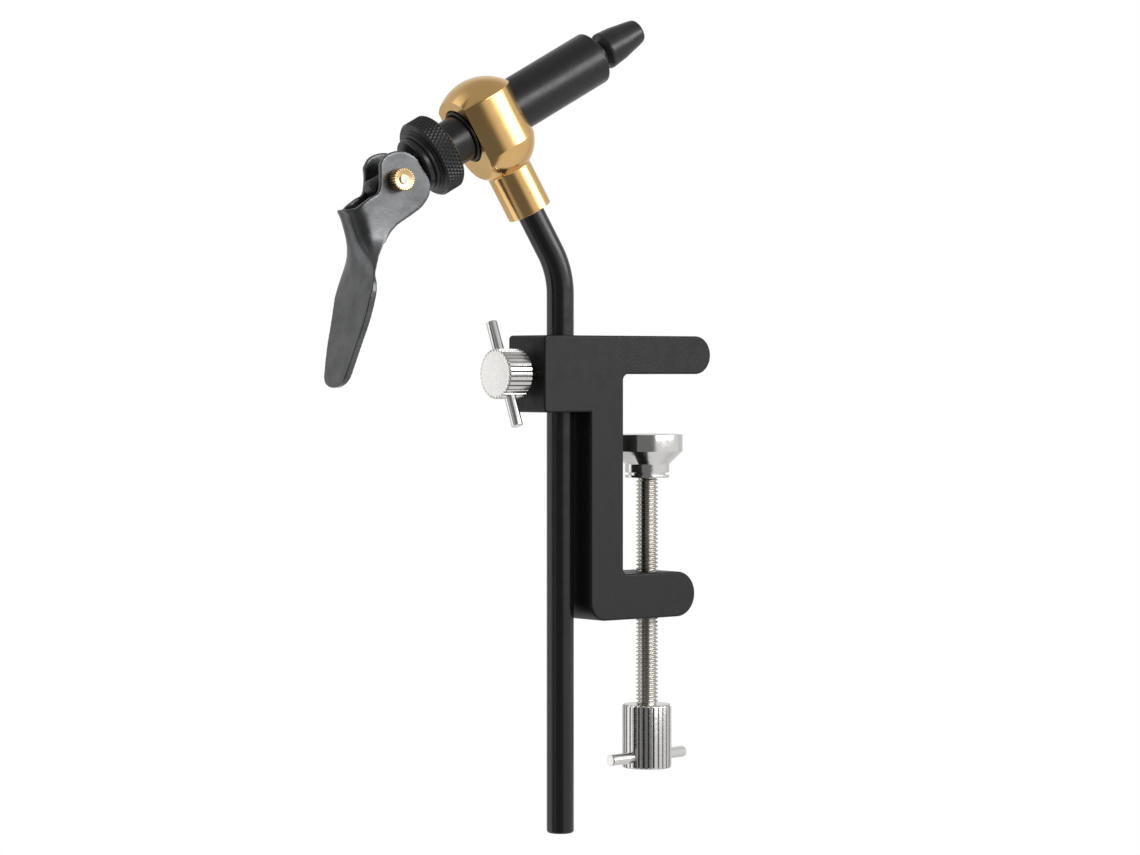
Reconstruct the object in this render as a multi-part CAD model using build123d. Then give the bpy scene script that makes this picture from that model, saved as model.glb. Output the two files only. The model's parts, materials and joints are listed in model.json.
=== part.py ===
from build123d import *
import math
import os

# A fly-tying vice on a table clamp: a C-clamp holds a bent stem, the stem holds a
# turned head, and the head holds a rotating barrel with cam-drawn collet jaws.
#
# Frame, in millimetres: origin on the underside of the upper clamp arm, on the axis
# of the table screw. +X runs along the arms towards the table, +Z is up.
#
# The head has a frame of its own: its X is the barrel axis, towards the jaws, its Z
# is the neck axis, away from the stem, and its origin is where the two cross.

# ------------------------------------------------------------------ C-clamp frame
stem_to_screw = 39.75
clamp_depth = 20.4
block_behind_stem = 15.0
block_below_jaw = 13.2
upper_arm_height = 13.5
upper_arm_past_screw = 21.25
lower_arm_height = 16.0
lower_arm_past_screw = 13.85
throat_height = 70.2
spine_thickness = 14.7
stem_spine_gap = 0.9375
throat_fillet = 2.3
heel_radius = 6.5
block_corner_radius = 1.5
frame_edge_radius = 0.7

# ------------------------------------------------------------------ stem and head
stem_diameter = 9.525
stem_running_gap = 0.05
stem_below_jaw = 160.3
stem_end_radius = 1.0
bend_radius = 30.0
bend_corner_height = 35.84
bend_corner_to_barrel = 58.44
stem_lean = 30.0
stem_swing = -11.2
neck_radius = 7.94
neck_length = 34.5
neck_chamfer = 0.5
stem_socket_depth = 20.0
band_wall = 4.275
dome_over_band = 3.6
dome_centre = -1.3
underside_over_band = 0.4
underside_centre = -6.5
rear_flat_offset = 9.6
set_screw_radius = 2.0
set_screw_height = -27.0
tension_screw_radius = 2.5
tension_plug_radius = 2.2
tension_screw_length = 3.0
hex_socket_radius = 1.2
hex_socket_depth = 1.5

# ------------------------------------------------------------------ barrel
barrel_radius = 9.525
barrel_front = 48.7
barrel_rear = -8.6
barrel_edge_radius = 0.8
barrel_groove_depth = 0.5
barrel_groove_width = 5.2
barrel_running_gap = 0.08
spring_chamber_rear = 8.0
nose_bush_length = 7.0
sleeve_share_of_wall = 0.562
sleeve_spigot_length = 9.0
sleeve_rear = -25.0
friction_ring_share_of_gap = 0.427
slide_gap = 0.05

# ------------------------------------------------------------------ drawbar and jaws
drawbar_radius = 3.97
drawbar_rear = -50.3
drawbar_past_flange = 6.0
drawbar_chamfer = 0.8
jaw_flange_behind_mouth = 20.7
jaw_flange_length = 2.5
jaw_neck_wall = 1.03
jaw_cone_past_mouth = 2.7
jaw_base_past_mouth = 4.9
jaw_base_radius = 6.7
jaw_tip_past_mouth = 20.8
jaw_tip_radius = 4.2
jaw_shoulder_bulge = 0.35
jaw_slit_width = 0.4
jaw_slit_past_drawbar = 2.0
spring_wire_radius = 0.45
spring_inner_gap = 0.78
spring_outer_gap = 0.85
spring_turns = 8

# ------------------------------------------------------------------ adjusting collar
collar_radius = 13.75
collar_front = -19.6
collar_rear = -27.2
collar_chamfer = 0.7
collar_step_radius = 11.4
collar_step_rear = -27.7
boss_radius = 10.5
boss_rear = -29.0
boss_edge_radius = 0.5
collar_wall = 1.5
washer_radius = 9.6
washer_thickness = 2.3
washer_edge_radius = 0.7

# ------------------------------------------------------------------ cam lever
pivot_station = -41.8
cam_lock_radius = 10.45
cam_fall = 1.15
cam_lock_face = 5.0
ear_outer = 7.3
ear_thickness = 1.9
blade_thickness = 2.5
blade_half_width = 14.4
blade_tip_half_width = 7.7
blade_tip_depth = 72.6
blade_lean = 14.5
pin_radius = 1.5
pin_running_gap = 0.04
pin_half_length = 12.6
pin_nut_radius = 3.85
pin_nut_outer = 12.3
pin_washer_radius = 3.2
pin_washer_thickness = 0.5

# ------------------------------------------------------------------ table screw and pad
screw_radius = 3.969
thread_running_gap = 0.06
pad_below_jaw = 21.4
pad_radius = 12.7
pad_rim_height = 6.0
pad_cone_height = 4.65
pad_hub_radius = 7.94
pad_hub_height = 3.0
pad_groove_height = 0.8
pad_flange_height = 1.0
pad_spigot_radius = 6.6
pad_cavity_radius = 4.4
screw_head_radius = 4.1
screw_head_height = 2.4
screw_neck_radius = 2.7
swivel_gap = 0.2
knob_radius = 8.75
knob_top = -117.7
knob_length = 22.7
knob_chamfer = 0.6
knob_ridges = 30
knob_groove_depth = 0.45
bar_radius = 2.0
bar_length = 38.6
bar_above_knob_end = 4.1
bar_end_chamfer = 0.35
table_bar_turn = 8.0

# ------------------------------------------------------------------ stem lock screw
lock_screw_radius = 3.175
lock_knob_radius = 8.7
lock_knob_length = 10.2
lock_knob_gap = 3.6
lock_knob_ridges = 32
lock_tip_length = 2.4
lock_tip_gap = 0.1
lock_bar_from_face = 4.1
lock_bar_turn = 22.0

os.makedirs("parts", exist_ok=True)


# ------------------------------------------------------------------ shared shapes
def turned(outline):
    """A solid turned about Z from a closed outline of (radius, height) points."""
    face = make_face(Polyline(*outline, close=True))
    return revolve(Plane.XZ * face, axis=Axis.Z)


def along_x(shape):
    """Lay a piece that was made along Z down along X."""
    return Rot(Y=90) * shape


def rod(start, end, radius):
    """A plain cylinder on Z from one height to another."""
    base = Pos(0, 0, min(start, end))
    return base * Cylinder(radius, abs(end - start), align=(Align.CENTER, Align.CENTER, Align.MIN))


def ridged_knob(radius, length, ridges, groove_depth, chamfer_size):
    """A straight-ridged knob on Z from 0 to its length, with chamfered ends."""
    blank = turned([
        (0, 0),
        (radius - chamfer_size, 0),
        (radius, chamfer_size),
        (radius, length - chamfer_size),
        (radius - chamfer_size, length),
        (0, length),
    ])
    pitch = 2 * math.pi * radius / ridges
    groove = extrude(make_face(Polyline(
        (radius - groove_depth, 0),
        (radius + 0.2, 0.42 * pitch),
        (radius + 0.2, -0.42 * pitch),
        close=True,
    )), amount=length)
    cuts = [Rot(Z=i * 360 / ridges) * groove for i in range(ridges)]
    return blank - cuts


def tommy_bar(radius, length):
    """A straight handle rod on X, centred, with chamfered ends."""
    half = length / 2
    return along_x(turned([
        (0, -half),
        (radius - bar_end_chamfer, -half),
        (radius, bar_end_chamfer - half),
        (radius, half - bar_end_chamfer),
        (radius - bar_end_chamfer, half),
        (0, half),
    ]))


def grub_screw(radius, start, end):
    """A set screw on Y between two distances, with a hex socket in its outer end."""
    body = rod(start, end, radius)
    socket = Pos(0, 0, end - hex_socket_depth) * extrude(
        RegularPolygon(hex_socket_radius, 6), amount=hex_socket_depth
    )
    return Rot(X=-90) * (body - socket)


# ------------------------------------------------------------------ sizes that follow others
barrel_bore_in_head = barrel_radius + barrel_running_gap
band_radius = barrel_radius + band_wall
dome_radius = band_radius + dome_over_band
underside_radius = band_radius + underside_over_band
spring_coil_radius = drawbar_radius + spring_inner_gap + spring_wire_radius
spring_chamber_radius = spring_coil_radius + spring_wire_radius + spring_outer_gap
sleeve_radius = spring_chamber_radius + sleeve_share_of_wall * (barrel_radius - spring_chamber_radius)
friction_ring_radius = friction_ring_share_of_gap * (barrel_bore_in_head - sleeve_radius)
jaw_neck_radius = drawbar_radius + jaw_neck_wall
jaw_flange_rear = barrel_front - jaw_flange_behind_mouth
jaw_cone_start = barrel_front + jaw_cone_past_mouth
jaw_base = barrel_front + jaw_base_past_mouth
jaw_tip = barrel_front + jaw_tip_past_mouth
drawbar_front = jaw_flange_rear + drawbar_past_flange
jaw_slit_rear = drawbar_front + jaw_slit_past_drawbar
lock_height = (upper_arm_height - block_below_jaw) / 2

# ------------------------------------------------------------------ frames of the head
stem_x = -stem_to_screw
swing = math.radians(stem_swing)
lean = math.radians(stem_lean)
across = Vector(math.cos(swing), math.sin(swing), 0)
barrel_axis = across * math.cos(lean) + Vector(0, 0, 1) * math.sin(lean)
neck_axis = across * -math.sin(lean) + Vector(0, 0, 1) * math.cos(lean)
bend_corner = Vector(stem_x, 0, bend_corner_height)
barrel_centre = bend_corner + neck_axis * bend_corner_to_barrel
head_place = Plane(origin=barrel_centre, x_dir=barrel_axis, z_dir=neck_axis).location
pivot_centre = barrel_centre + barrel_axis * pivot_station
lever_place = Plane(origin=pivot_centre, x_dir=across, z_dir=(0, 0, 1)).location


# ------------------------------------------------------------------ clamp
def clamp_frame():
    """The C-shaped frame: stem block, upper arm, spine and lower arm in one casting."""
    block_rear_x = stem_x - block_behind_stem
    spine_outer_x = stem_x + stem_diameter / 2 + stem_spine_gap
    spine_inner_x = spine_outer_x + spine_thickness
    lower_arm_bottom = -throat_height - lower_arm_height
    upper_tip = upper_arm_height / 2
    lower_tip = lower_arm_height / 2

    def bar(x_low, x_high, z_low, z_high):
        return Pos((x_low + x_high) / 2, (z_low + z_high) / 2) * Rectangle(x_high - x_low, z_high - z_low)

    outline = bar(block_rear_x, spine_outer_x, -block_below_jaw, upper_arm_height)
    outline += bar(block_rear_x, upper_arm_past_screw - upper_tip, 0, upper_arm_height)
    outline += Pos(upper_arm_past_screw - upper_tip, upper_tip) * Circle(upper_tip)
    outline += bar(spine_outer_x, spine_inner_x, lower_arm_bottom, upper_arm_height)
    outline += bar(spine_outer_x, lower_arm_past_screw - lower_tip, lower_arm_bottom, -throat_height)
    outline += Pos(lower_arm_past_screw - lower_tip, -throat_height - lower_tip) * Circle(lower_tip)

    def corners(points):
        return [v for v in outline.vertices() if any(abs(v.X - x) < 0.01 and abs(v.Y - z) < 0.01 for x, z in points)]

    outline = fillet(corners([(spine_inner_x, 0), (spine_inner_x, -throat_height)]), throat_fillet)
    outline = fillet(corners([(spine_outer_x, lower_arm_bottom)]), heel_radius)
    outline = fillet(
        corners([(block_rear_x, upper_arm_height), (block_rear_x, -block_below_jaw)]), block_corner_radius
    )
    solid = extrude(Plane.XZ * outline, amount=clamp_depth / 2, both=True)
    solid = fillet(
        solid.faces().sort_by(Axis.Y)[0].edges() + solid.faces().sort_by(Axis.Y)[-1].edges(), frame_edge_radius
    )
    solid -= Pos(stem_x, 0, 0) * rod(
        -block_below_jaw - 1, upper_arm_height + 1, stem_diameter / 2 + stem_running_gap
    )
    solid -= Pos(stem_x, 0, lock_height) * Rot(Y=-90) * rod(
        0, block_behind_stem + 1, lock_screw_radius + thread_running_gap
    )
    solid -= rod(lower_arm_bottom - 1, -throat_height + 1, screw_radius + thread_running_gap)
    return solid


# ------------------------------------------------------------------ stem
def stem():
    """The round rod: straight through the clamp, bent once, then up into the head."""
    top = barrel_centre - neck_axis * (neck_length - stem_socket_depth)
    path = FilletPolyline((stem_x, 0, -stem_below_jaw), bend_corner, top, radius=bend_radius)
    section = Plane(origin=(stem_x, 0, -stem_below_jaw), z_dir=(0, 0, 1)) * Circle(stem_diameter / 2)
    solid = sweep(section, path=path)
    return fillet(solid.edges().sort_by(Axis.Z)[0], stem_end_radius)


# ------------------------------------------------------------------ head
def head():
    """The turned head: dome, band, rounded underside and neck, cross-bored for the barrel."""
    band_top = dome_centre + math.sqrt(dome_radius**2 - band_radius**2)
    band_bottom = underside_centre - math.sqrt(underside_radius**2 - band_radius**2)
    neck_top = underside_centre - math.sqrt(underside_radius**2 - neck_radius**2)

    def sphere_arc(centre, radius, start, end):
        first = math.atan2(start[1] - centre, start[0])
        last = math.atan2(end[1] - centre, end[0])
        middle = (first + last) / 2
        through = (radius * math.cos(middle), centre + radius * math.sin(middle))
        return ThreePointArc(start, through, end)

    outline = make_face([
        Polyline((0, -neck_length), (neck_radius - neck_chamfer, -neck_length),
                 (neck_radius, neck_chamfer - neck_length), (neck_radius, neck_top)),
        sphere_arc(underside_centre, underside_radius, (neck_radius, neck_top), (band_radius, band_bottom)),
        Line((band_radius, band_bottom), (band_radius, band_top)),
        sphere_arc(dome_centre, dome_radius, (band_radius, band_top), (0, dome_centre + dome_radius)),
        Line((0, dome_centre + dome_radius), (0, -neck_length)),
    ])
    solid = revolve(Plane.XZ * outline, axis=Axis.Z)
    solid -= along_x(rod(-rear_flat_offset - 2 * dome_radius, -rear_flat_offset, 2 * dome_radius))
    solid -= along_x(rod(-2 * dome_radius, 2 * dome_radius, barrel_bore_in_head))
    solid -= rod(-neck_length - 1, stem_socket_depth - neck_length, stem_diameter / 2)
    solid -= Pos(0, 0, set_screw_height) * Rot(X=-90) * rod(0, 2 * neck_radius, set_screw_radius)
    solid -= Rot(X=-90) * rod(0, 2 * band_radius, tension_screw_radius)
    return head_place * solid


def head_screws():
    """The neck's grub screw, and the barrel's tension screw with its soft plug."""
    plug_start = barrel_radius - barrel_groove_depth + 0.15
    screw_end = band_radius - 0.3
    screw_start = screw_end - tension_screw_length
    neck_screw = Pos(0, 0, set_screw_height) * grub_screw(set_screw_radius, stem_diameter / 2, neck_radius - 0.2)
    return {
        "neck_set_screw": head_place * neck_screw,
        "tension_screw": head_place * grub_screw(tension_screw_radius, screw_start, screw_end),
        "tension_plug": head_place * Rot(X=-90) * rod(plug_start, screw_start, tension_plug_radius),
    }


# ------------------------------------------------------------------ barrel
def barrel():
    """The main tube: turns in the head, bored for the drawbar, spring and jaws."""
    bore = drawbar_radius + slide_gap
    half_groove = barrel_groove_width / 2
    floor_radius = barrel_radius - barrel_groove_depth
    solid = turned([
        (spring_chamber_radius, barrel_rear),
        (barrel_radius, barrel_rear),
        (barrel_radius, -half_groove),
        (floor_radius, -half_groove),
        (floor_radius, half_groove),
        (barrel_radius, half_groove),
        (barrel_radius, barrel_front),
        (spring_chamber_radius, barrel_front),
        (spring_chamber_radius, spring_chamber_rear),
        (bore, spring_chamber_rear),
        (bore, barrel_rear + sleeve_spigot_length),
        (spring_chamber_radius, barrel_rear + sleeve_spigot_length),
    ])
    rim = solid.edges().filter_by(GeomType.CIRCLE).filter_by(lambda e: e.radius > barrel_radius - 0.01)
    return head_place * along_x(fillet(rim.sort_by(Axis.Z)[-1], barrel_edge_radius))


def nose_bush():
    """The hard ring in the barrel's mouth that the jaws are drawn against."""
    return head_place * along_x(turned([
        (jaw_neck_radius + slide_gap, barrel_front - nose_bush_length),
        (spring_chamber_radius, barrel_front - nose_bush_length),
        (spring_chamber_radius, barrel_front - 0.2),
        (jaw_neck_radius + 0.6, barrel_front - 0.2),
        (jaw_neck_radius + slide_gap, barrel_front - 0.9),
    ]))


def rear_sleeve():
    """The threaded sleeve in the barrel's rear end, which carries the collar."""
    bore = drawbar_radius + slide_gap
    return head_place * along_x(turned([
        (bore, sleeve_rear),
        (sleeve_radius - 0.5, sleeve_rear),
        (sleeve_radius, sleeve_rear + 0.5),
        (sleeve_radius, barrel_rear),
        (spring_chamber_radius, barrel_rear),
        (spring_chamber_radius, barrel_rear + sleeve_spigot_length),
        (bore, barrel_rear + sleeve_spigot_length),
    ]))


def friction_ring():
    """The rubber ring on the sleeve, against the barrel's rear face."""
    place = Pos(barrel_rear - 2.2 * friction_ring_radius, 0, 0)
    return head_place * place * along_x(Torus(sleeve_radius + friction_ring_radius, friction_ring_radius))


# ------------------------------------------------------------------ jaws
def drawbar():
    """The rod that the cam pulls, with the lever's pin through its tail."""
    solid = turned([
        (0, drawbar_rear),
        (drawbar_radius - drawbar_chamfer, drawbar_rear),
        (drawbar_radius, drawbar_rear + drawbar_chamfer),
        (drawbar_radius, drawbar_front),
        (0, drawbar_front),
    ])
    solid -= Pos(0, 0, pivot_station) * Rot(X=90) * rod(
        -2 * drawbar_radius, 2 * drawbar_radius, pin_radius + pin_running_gap
    )
    return head_place * along_x(solid)


def jaw_collet():
    """The split collet: flange, neck, closing cone and tapered jaws in one piece."""
    flange_radius = spring_chamber_radius - slide_gap
    flange_front = jaw_flange_rear + jaw_flange_length
    taper_middle = (jaw_base + jaw_tip) / 2
    middle_radius = (jaw_base_radius + jaw_tip_radius) / 2 + jaw_shoulder_bulge
    solid = turned([
        (drawbar_radius, jaw_flange_rear),
        (flange_radius, jaw_flange_rear),
        (flange_radius, flange_front),
        (jaw_neck_radius, flange_front),
        (jaw_neck_radius, jaw_cone_start),
        (jaw_base_radius - 0.3, jaw_base - 0.5),
        (jaw_base_radius, jaw_base),
        (middle_radius, taper_middle),
        (jaw_tip_radius, jaw_tip - 0.8),
        (jaw_tip_radius - 1.2, jaw_tip),
        (0, jaw_tip),
        (0, drawbar_front),
        (drawbar_radius, drawbar_front),
    ])
    slit_length = jaw_tip - jaw_slit_rear + 1
    slit = Pos(0, 0, jaw_slit_rear + slit_length / 2) * Box(3 * jaw_base_radius, jaw_slit_width, slit_length)
    return head_place * along_x(solid - slit)


def return_spring():
    """The coil that pushes the jaws forward when the cam lets go."""
    start = spring_chamber_rear + spring_wire_radius + 0.1
    height = jaw_flange_rear - spring_wire_radius - 0.1 - start
    path = Pos(0, 0, start) * Helix(height / spring_turns, height, spring_coil_radius)
    section = Plane(origin=path @ 0, z_dir=path % 0) * Circle(spring_wire_radius)
    return head_place * along_x(sweep(section, path=path, is_frenet=True))


# ------------------------------------------------------------------ collar
def adjusting_collar():
    """The knurled collar on the sleeve that sets the jaw opening."""
    bore = sleeve_radius + slide_gap
    pass_hole = drawbar_radius + slide_gap
    return head_place * along_x(turned([
        (bore, collar_front),
        (collar_radius - collar_chamfer, collar_front),
        (collar_radius, collar_front - collar_chamfer),
        (collar_radius, collar_rear + collar_chamfer),
        (collar_radius - collar_chamfer, collar_rear),
        (collar_step_radius, collar_rear),
        (collar_step_radius, collar_step_rear),
        (boss_radius, collar_step_rear),
        (boss_radius, boss_rear + boss_edge_radius),
        (boss_radius - boss_edge_radius, boss_rear),
        (pass_hole, boss_rear),
        (pass_hole, boss_rear + collar_wall),
        (bore, boss_rear + collar_wall),
    ]))


def thrust_washer():
    """The hard, round-edged washer between the turning collar and the cam."""
    inner = drawbar_radius + slide_gap
    rear = boss_rear - washer_thickness
    return head_place * along_x(turned([
        (inner, boss_rear),
        (washer_radius, boss_rear),
        (washer_radius, rear + washer_edge_radius),
        (washer_radius - washer_edge_radius, rear),
        (inner, rear),
    ]))


# ------------------------------------------------------------------ cam lever
def polar(angle, distance):
    """A point in the lever's side view, by its angle above the horizontal."""
    return (distance * math.cos(math.radians(angle)), distance * math.sin(math.radians(angle)))


def cam_lever():
    """The lever: two cam ears joined by a web that sweeps down into a broad blade."""
    lock_point = polar(stem_lean, cam_lock_radius)
    half_way = polar(stem_lean + 45, cam_lock_radius - cam_fall / 2)
    open_point = polar(stem_lean + 90, cam_lock_radius - cam_fall)
    lock_end = (lock_point[0] + cam_lock_face * math.sin(lean), lock_point[1] - cam_lock_face * math.cos(lean))
    ear_back = (-6.8, 1.5)
    saddle = (-17.0, -10.2)
    throat = (-4.9, -20.8)
    knee = (5.0, -11.8)
    ear = make_face([
        ThreePointArc(lock_point, half_way, open_point),
        ThreePointArc(open_point, (-6.6, 5.8), ear_back),
        ThreePointArc(ear_back, (-8.3, -5.0), (-12.6, -8.3)),
        Polyline((-12.6, -8.3), saddle, (-15.2, -17.0), (-13.8, -26.0), (-9.6, -27.5)),
        Line((-9.6, -27.5), throat),
        ThreePointArc(throat, (-1.2, -16.0), knee),
        ThreePointArc(knee, (11.0, -6.0), lock_end),
        Line(lock_end, lock_point),
    ])
    plate = Plane.XZ * ear
    near_ear = Pos(0, -(ear_outer - ear_thickness), 0) * extrude(plate, amount=ear_thickness)
    far_ear = Pos(0, ear_outer, 0) * extrude(plate, amount=ear_thickness)

    bend_end = (-14.3, -37.7)
    tip_x = bend_end[0] - (blade_tip_depth + bend_end[1]) * math.tan(math.radians(blade_lean))
    middle_line = [(-17.4, -10.0), (-15.5, -17.0), (-13.6, -25.0), (-13.2, -31.5), bend_end, (tip_x, -blade_tip_depth)]
    half = blade_thickness / 2
    front = Spline(*[(x + half, z) for x, z in middle_line])
    back = Spline(*[(x - half, z) for x, z in reversed(middle_line)])
    band = make_face([front, Line(front @ 1, back @ 0), back, Line(back @ 1, front @ 0)])
    sheet = extrude(Plane.XZ * band, amount=2 * blade_half_width, both=True)

    right_edge = [(ear_outer, -9.0), (ear_outer + 0.6, -17.0), (10.2, -24.0), (13.4, -30.0),
                  (blade_half_width, -36.0), (0.55 * blade_half_width + 0.45 * blade_tip_half_width, -52.0),
                  (blade_tip_half_width, -blade_tip_depth + 4.5)]
    right = Spline(*right_edge)
    left = Spline(*[(-y, z) for y, z in reversed(right_edge)])
    tip = ThreePointArc(right @ 1, (0, -blade_tip_depth), left @ 0)
    outline = make_face([right, tip, left, Line(left @ 1, right @ 0)])
    cutter = extrude(Plane.YZ * outline, amount=4 * blade_half_width, both=True)

    solid = near_ear + far_ear + (sheet & cutter)
    solid -= Rot(X=90) * rod(-2 * ear_outer, 2 * ear_outer, pin_radius)
    return lever_place * solid


def lever_pin_set():
    """The pivot pin, and the knurled nuts and washers on its two ends."""
    pin = Rot(X=90) * rod(-pin_half_length, pin_half_length, pin_radius)
    washer = turned([
        (pin_radius, ear_outer),
        (pin_washer_radius, ear_outer),
        (pin_washer_radius, ear_outer + pin_washer_thickness),
        (pin_radius, ear_outer + pin_washer_thickness),
    ])
    nut = turned([
        (pin_radius, ear_outer + pin_washer_thickness),
        (pin_nut_radius, ear_outer + pin_washer_thickness),
        (pin_nut_radius, pin_nut_outer - 0.5),
        (pin_nut_radius - 0.5, pin_nut_outer),
        (pin_radius, pin_nut_outer),
    ])
    sides = [Rot(X=90), Rot(X=-90)]
    return {
        "lever_pin": lever_place * pin,
        "pin_washers": Compound([lever_place * side * washer for side in sides]),
        "pin_nuts": Compound([lever_place * side * nut for side in sides]),
    }


# ------------------------------------------------------------------ table screw and pad
pad_bottom = -pad_below_jaw - pad_rim_height - pad_cone_height - pad_hub_height
ring_bottom = pad_bottom - pad_groove_height - pad_flange_height
cavity_top = pad_bottom + swivel_gap + screw_head_height + swivel_gap
knob_bottom = knob_top - knob_length
table_bar_height = knob_bottom + bar_above_knob_end


def pressure_pad():
    """The round foot that bears on the underside of the table."""
    rim_bottom = -pad_below_jaw - pad_rim_height
    return turned([
        (0, -pad_below_jaw),
        (pad_radius - 0.4, -pad_below_jaw),
        (pad_radius, -pad_below_jaw - 0.4),
        (pad_radius, rim_bottom),
        (pad_hub_radius, pad_bottom + pad_hub_height),
        (pad_hub_radius, pad_bottom),
        (pad_spigot_radius, pad_bottom),
        (pad_spigot_radius, pad_bottom + swivel_gap),
        (pad_cavity_radius, pad_bottom + swivel_gap),
        (pad_cavity_radius, cavity_top),
        (0, cavity_top),
    ])


def pad_retaining_ring():
    """The flanged ring pressed into the pad, which keeps the screw's head in."""
    inner = screw_neck_radius + swivel_gap
    return turned([
        (inner, ring_bottom),
        (pad_hub_radius - 0.2, ring_bottom),
        (pad_hub_radius, ring_bottom + 0.2),
        (pad_hub_radius, ring_bottom + pad_flange_height),
        (pad_spigot_radius, ring_bottom + pad_flange_height),
        (pad_spigot_radius, pad_bottom + swivel_gap),
        (inner, pad_bottom + swivel_gap),
    ])


def table_screw():
    """The clamp's threaded rod, with a swivel head in the pad and its foot in the knob."""
    head_bottom = pad_bottom + 2 * swivel_gap
    head_top = cavity_top - swivel_gap / 2
    shoulder = ring_bottom - swivel_gap
    foot = table_bar_height + bar_radius + 1.0
    return turned([
        (0, head_top),
        (screw_head_radius - 0.5, head_top),
        (screw_head_radius, head_top - 0.5),
        (screw_head_radius, head_bottom),
        (screw_neck_radius, head_bottom),
        (screw_neck_radius, shoulder),
        (screw_radius - 0.6, shoulder),
        (screw_radius, shoulder - 0.6),
        (screw_radius, foot),
        (0, foot),
    ])


def table_knob_set():
    """The ridged knob on the screw's lower end, and the bar through it."""
    foot = table_bar_height + bar_radius + 1.0
    bar = Pos(0, 0, table_bar_height) * Rot(Z=table_bar_turn) * tommy_bar(bar_radius, bar_length)
    knob = Pos(0, 0, knob_bottom) * ridged_knob(
        knob_radius, knob_length, knob_ridges, knob_groove_depth, knob_chamfer
    )
    knob -= rod(foot, knob_top + 1, screw_radius)
    knob -= Pos(0, 0, table_bar_height) * Rot(Z=table_bar_turn) * along_x(
        rod(-2 * knob_radius, 2 * knob_radius, bar_radius)
    )
    return {"table_knob": knob, "table_knob_bar": bar}


# ------------------------------------------------------------------ stem lock
def stem_lock_set():
    """The thumb screw that grips the stem, made along Z and laid towards -X."""
    tip_start = stem_diameter / 2 + lock_tip_gap
    tip_end = tip_start + lock_tip_length
    knob_start = block_behind_stem + lock_knob_gap
    knob_end = knob_start + lock_knob_length
    bar_station = knob_end - lock_bar_from_face
    screw_end = bar_station - bar_radius - 0.6
    place = Pos(stem_x, 0, lock_height) * Rot(Y=-90)
    bar_place = Pos(0, 0, bar_station) * Rot(Z=lock_bar_turn)

    tip = rod(tip_start, tip_end, lock_screw_radius - 0.4)
    screw = rod(tip_end + slide_gap, screw_end, lock_screw_radius)
    knob = Pos(0, 0, knob_start) * ridged_knob(
        lock_knob_radius, lock_knob_length, lock_knob_ridges, knob_groove_depth, knob_chamfer
    )
    knob -= rod(knob_start - 1, screw_end, lock_screw_radius)
    knob -= bar_place * along_x(rod(-2 * lock_knob_radius, 2 * lock_knob_radius, bar_radius))
    return {
        "stem_lock_tip": place * tip,
        "stem_lock_screw": place * screw,
        "stem_lock_knob": place * knob,
        "stem_lock_bar": place * bar_place * tommy_bar(bar_radius, bar_length),
    }


# ------------------------------------------------------------------ write the pieces
pieces = {
    "clamp_frame": clamp_frame(),
    "stem": stem(),
    "head": head(),
    "barrel": barrel(),
    "nose_bush": nose_bush(),
    "rear_sleeve": rear_sleeve(),
    "friction_ring": friction_ring(),
    "drawbar": drawbar(),
    "jaw_collet": jaw_collet(),
    "return_spring": return_spring(),
    "adjusting_collar": adjusting_collar(),
    "thrust_washer": thrust_washer(),
    "cam_lever": cam_lever(),
    "pressure_pad": pressure_pad(),
    "pad_retaining_ring": pad_retaining_ring(),
    "table_screw": table_screw(),
}
pieces.update(head_screws())
pieces.update(lever_pin_set())
pieces.update(table_knob_set())
pieces.update(stem_lock_set())

for name, piece in pieces.items():
    export_step(piece, f"parts/{name}.step")

print("barrel centre", barrel_centre)
print("barrel axis", barrel_axis)
print("pivot centre", pivot_centre)
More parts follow.
